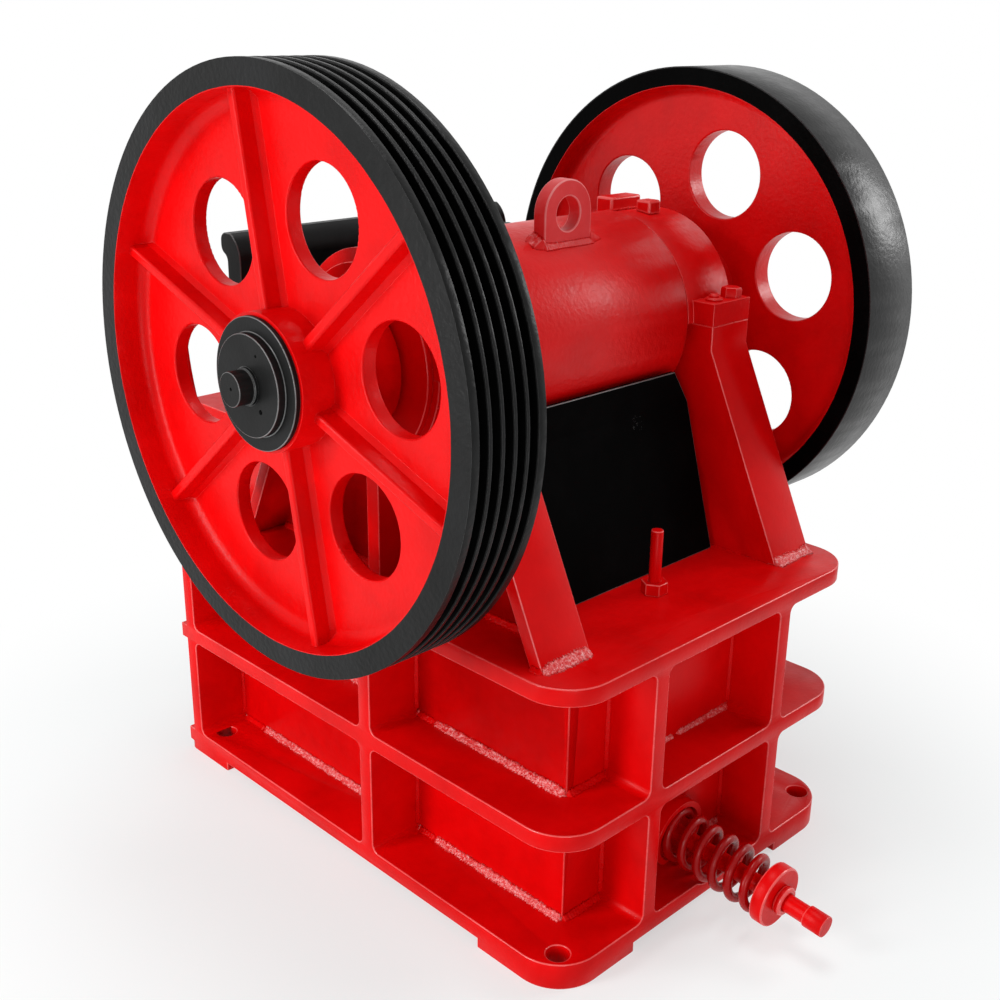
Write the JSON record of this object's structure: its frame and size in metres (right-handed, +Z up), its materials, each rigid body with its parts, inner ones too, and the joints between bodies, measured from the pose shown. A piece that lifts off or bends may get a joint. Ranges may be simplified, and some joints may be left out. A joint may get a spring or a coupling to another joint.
{
  "type": "jaw crusher",
  "caption": "Small jaw crusher: welded box frame, swing jaw on an eccentric shaft between a grooved pulley and a flywheel, sprung tension rod at the rear.",
  "frame": {"origin": "on the floor at the middle of the four anchor holes", "axes": "+X along the shaft towards the flywheel, +Y to the feed side, -Y to the tension rod, +Z up"},
  "size_m": [0.818, 0.8692, 0.936],
  "materials": {
    "red_paint": "gloss",
    "black_paint": "satin",
    "manganese_steel": "rough",
    "spring_red": "gloss"
  },
  "bodies": {
    "frame": {"base_flange": "red_paint", "middle_flange": "red_paint", "top_flange": "red_paint", "left_side_wall": "red_paint", "right_side_wall": "red_paint", "rear_wall": "red_paint", "front_wall": "red_paint", "front_top_plate": "red_paint", "side_ribs": "red_paint", "end_ribs": "red_paint", "left_rear_brace": "red_paint", "right_rear_brace": "red_paint", "left_front_brace": "red_paint", "right_front_brace": "red_paint", "stand_ribs": "red_paint", "left_bearing_base": "red_paint", "right_bearing_base": "red_paint", "left_bearing_cap": "red_paint", "right_bearing_cap": "red_paint", "bearing_seals": "red_paint", "cap_fittings": "red_paint", "fixed_jaw_plate": "manganese_steel", "feed_lip": "black_paint", "left_cheek_plate": "manganese_steel", "right_cheek_plate": "manganese_steel", "rear_guard": "black_paint", "rod_seat": "red_paint", "adjusting_stud": "red_paint", "adjusting_nut": "red_paint", "toggle_beam": "red_paint", "toggle_plate": "black_paint"},
    "rotor": {"eccentric_shaft": "black_paint", "pulley": "red_paint", "flywheel": "red_paint", "pulley_end_cap": "black_paint", "flywheel_end_cap": "black_paint"},
    "swing_jaw": {"pitman": "red_paint", "moving_jaw_plate": "manganese_steel", "jaw_clamp_bar": "black_paint", "lifting_eye": "red_paint"},
    "tension_rod": {"tension_rod": "red_paint", "spring_washer": "red_paint", "rod_nut": "red_paint", "tension_spring": "spring_red"}
  },
  "joints": [
    {"name": "wheel_turn", "type": "hinge", "parent": "frame", "child": "rotor", "pos_m": [0, -0.0295, 0.631], "axis": [1, 0, 0], "continuous": true},
    {"name": "jaw_swing", "type": "hinge", "parent": "frame", "child": "swing_jaw", "pos_m": [0, -0.0295, 0.631], "axis": [1, 0, 0], "range_deg": [-0.7, 0.7]},
    {"name": "rod_slide", "type": "slide", "parent": "frame", "child": "tension_rod", "axis": [0, -0.9962, -0.0872], "range_m": [-0.0066, 0.0066], "deforming": ["tension_spring"]}
  ],
  "couplings": [
    {"joint": "rod_slide", "follows": "jaw_swing", "m_per_rad": -0.5388}
  ]
}
